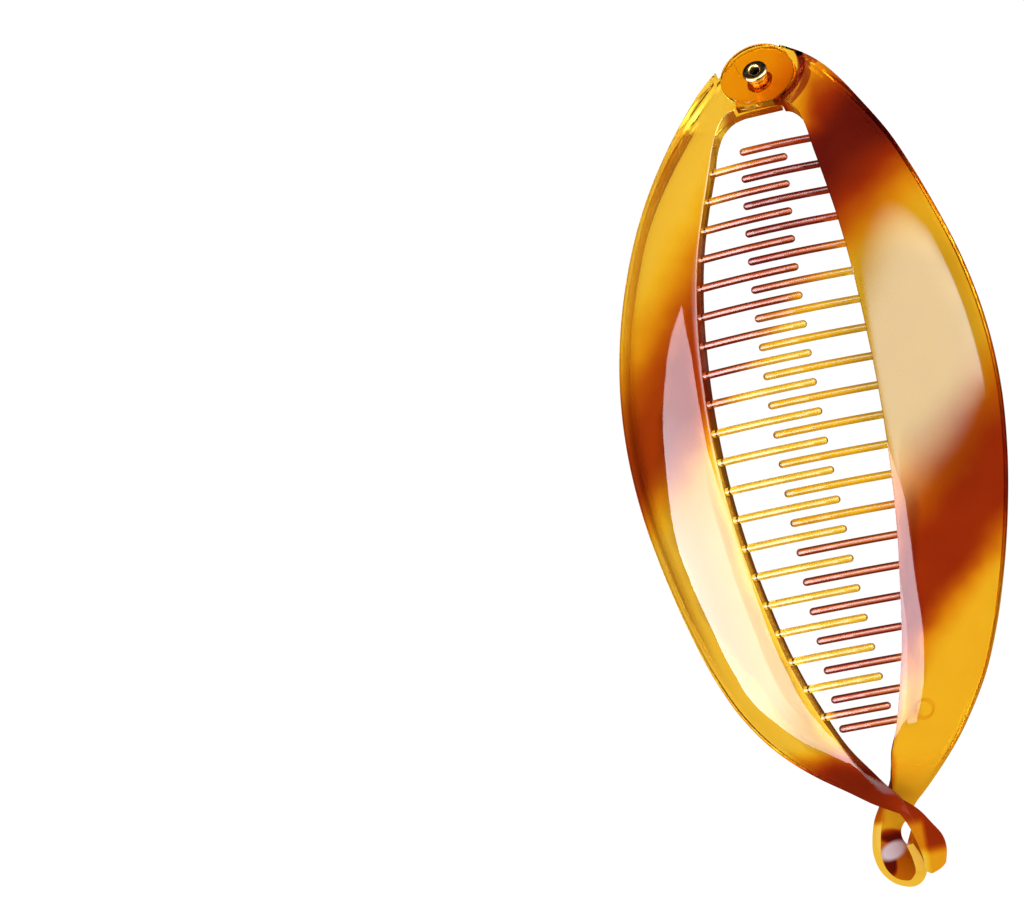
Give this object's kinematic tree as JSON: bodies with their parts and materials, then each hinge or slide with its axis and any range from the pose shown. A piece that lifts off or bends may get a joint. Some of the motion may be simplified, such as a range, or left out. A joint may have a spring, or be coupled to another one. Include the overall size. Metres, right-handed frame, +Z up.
{
  "type": "banana hair clip",
  "caption": "Arched banana hair clip whose curved jaws carry interleaving comb teeth, pivot on a hollow rivet and close with interlocking curled hooks.",
  "frame": {"origin": "centre of the base of the box around the closed clip as it lies, on the surface it lies on", "axes": "+Y along the clip, from the hooked clasp to the hinge; +X from the left jaw to the right jaw; +Z up"},
  "size_m": [0.0668, 0.1582, 0.0319],
  "materials": {
    "tortoiseshell_plastic": "translucent amber and red-brown tortoiseshell, polished",
    "amber_plastic": "translucent amber and red-brown tortoiseshell, polished",
    "brass": "satin"
  },
  "bodies": {
    "right_half": {"right_jaw": "amber_plastic", "rivet": "brass"},
    "left_half": {"left_jaw": "tortoiseshell_plastic"}
  },
  "joints": [
    {"name": "jaw_hinge", "type": "hinge", "parent": "right_half", "child": "left_half", "pos_m": [0.00254, 0.07227, 0.0057], "axis": [0.2862, -0.5226, -0.8031], "range_deg": [0, 100]}
  ]
}
